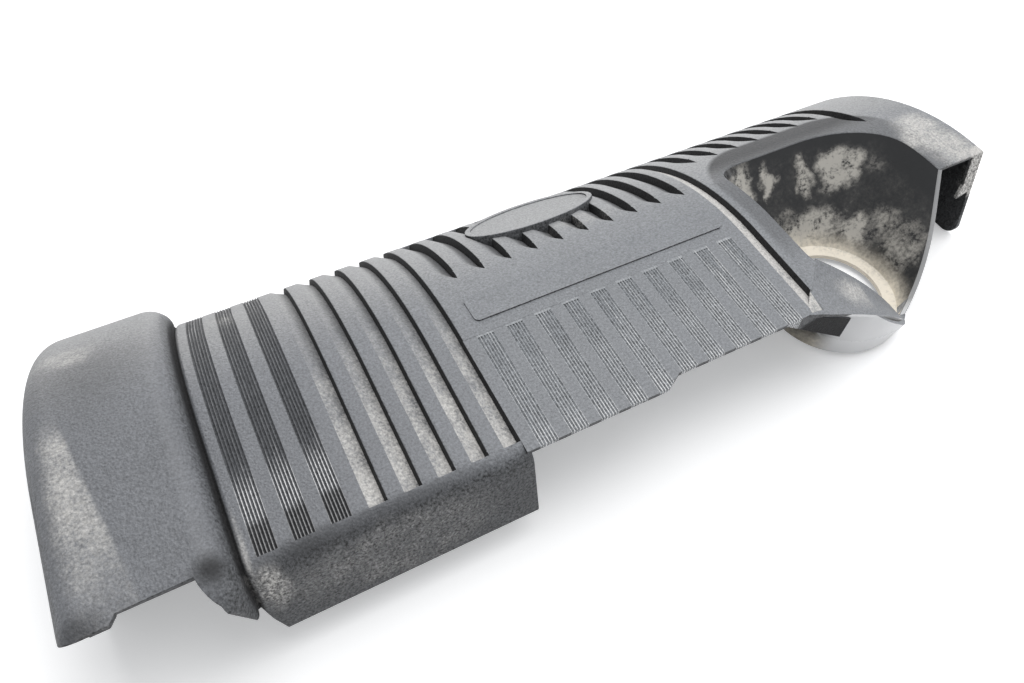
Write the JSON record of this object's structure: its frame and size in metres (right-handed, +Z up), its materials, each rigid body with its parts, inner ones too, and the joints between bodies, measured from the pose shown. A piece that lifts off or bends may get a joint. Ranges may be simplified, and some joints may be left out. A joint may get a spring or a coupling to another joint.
{
  "type": "engine cover",
  "caption": "Long moulded engine cover with a raised hood at one end, a fluted and finely banded top, a plain oval badge plate and an open filler bowl near the other end.",
  "frame": {"origin": "middle of the footprint on the bench the cover stands on", "axes": "+X along the engine from the hood to the filler bowl, +Y from the nosed side to the far side, +Z up"},
  "size_m": [0.539, 0.2158, 0.073],
  "materials": {
    "shell": "fine-grained black plastic, faded and dusty"
  },
  "bodies": {
    "root": {"cover_shell": "shell"}
  },
  "joints": []
}
